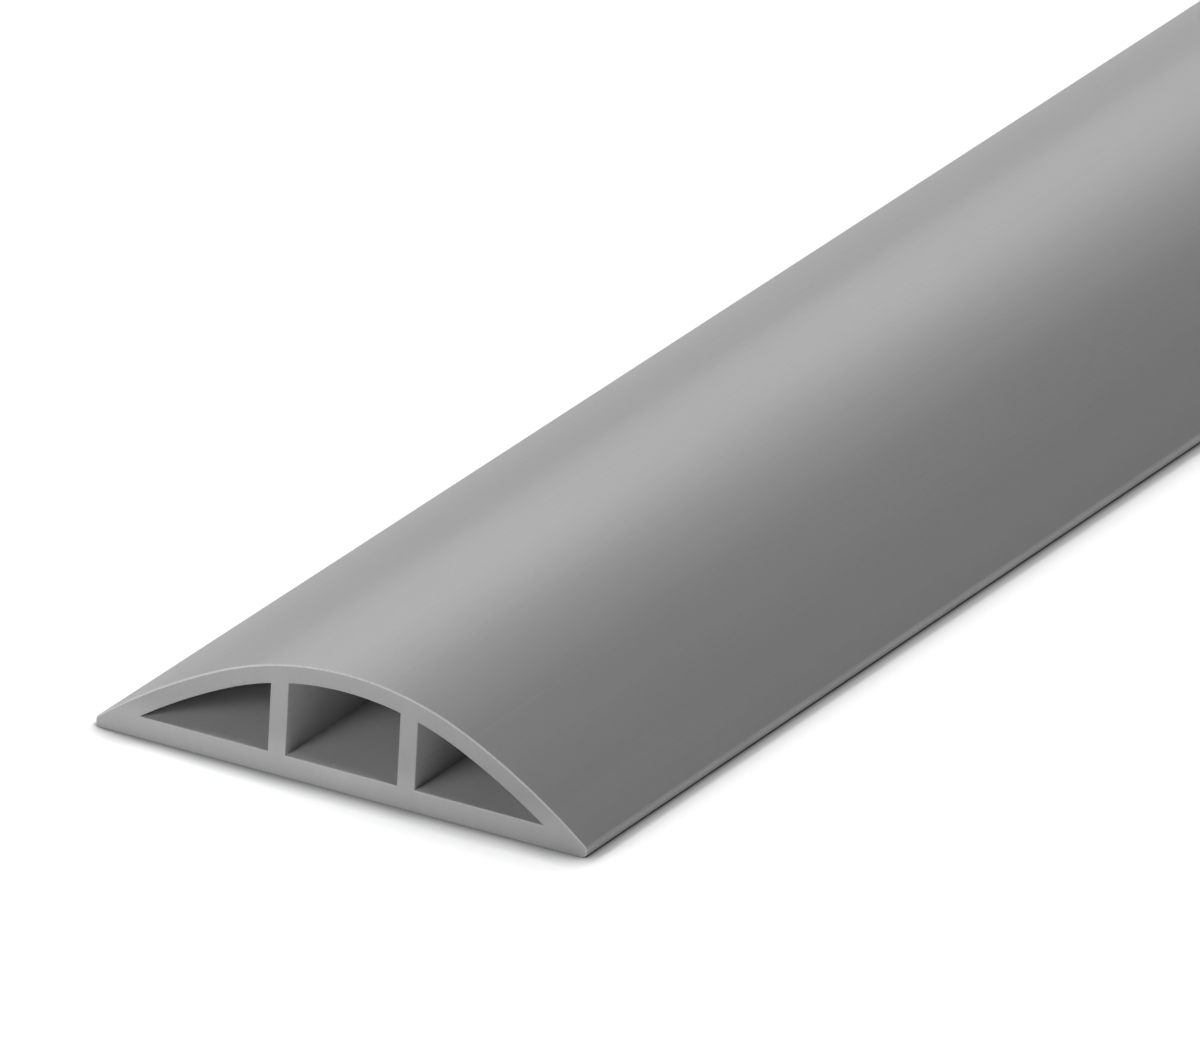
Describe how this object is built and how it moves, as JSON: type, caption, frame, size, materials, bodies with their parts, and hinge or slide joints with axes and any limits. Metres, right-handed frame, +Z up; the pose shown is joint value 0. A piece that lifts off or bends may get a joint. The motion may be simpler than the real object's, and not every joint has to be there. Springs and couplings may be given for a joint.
{
  "type": "floor cord cover",
  "caption": "Low domed strip of flexible grey PVC with a flat base and through channels that carry cords across a floor.",
  "frame": {"origin": "middle of the underside, on the floor that the cover lies on", "axes": "+Y along the extrusion, +X across it, +Z up out of the floor"},
  "size_m": [0.0636, 1.524, 0.0144],
  "materials": {
    "grey_pvc": "satin grey flexible PVC, smooth from the die, with square-cut ends"
  },
  "bodies": {
    "root": {"cord_cover": "grey_pvc"}
  },
  "joints": []
}
